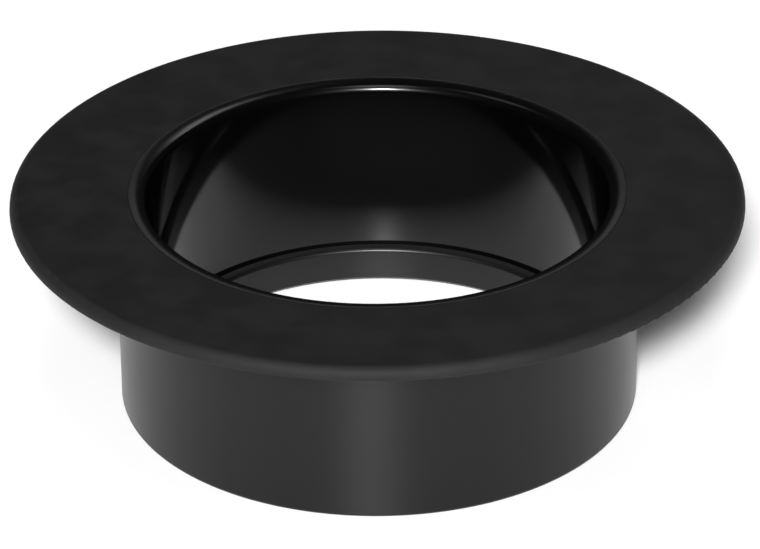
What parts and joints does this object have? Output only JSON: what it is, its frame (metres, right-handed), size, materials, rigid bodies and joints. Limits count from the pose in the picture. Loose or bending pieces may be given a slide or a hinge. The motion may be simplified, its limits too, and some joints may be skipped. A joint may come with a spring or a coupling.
{
  "type": "toilet flange",
  "caption": "Slip-on toilet flange: a flat round plate on a short pipe sleeve, with a smooth socket and an inner pipe stop at its foot.",
  "frame": {"origin": "centre of the sleeve's foot, in the plane that the part stands on", "axes": "+Z along the pipe axis, out of the socket's mouth; X and Y are any two directions square to it, because the part is round"},
  "size_m": [0.1424, 0.1424, 0.0438],
  "materials": {
    "plate_abs": "fine matte grain on the flat faces, smooth rounded rim",
    "sleeve_abs": "polished socket and mouth, satin outside",
    "stop_abs": "satin with fine turning marks",
    "bead_cement": "glossy set solvent cement, slightly uneven"
  },
  "bodies": {
    "root": {"flange_plate": "plate_abs", "socket_sleeve": "sleeve_abs", "stop_ring": "stop_abs", "plate_bead": "bead_cement"}
  },
  "joints": []
}
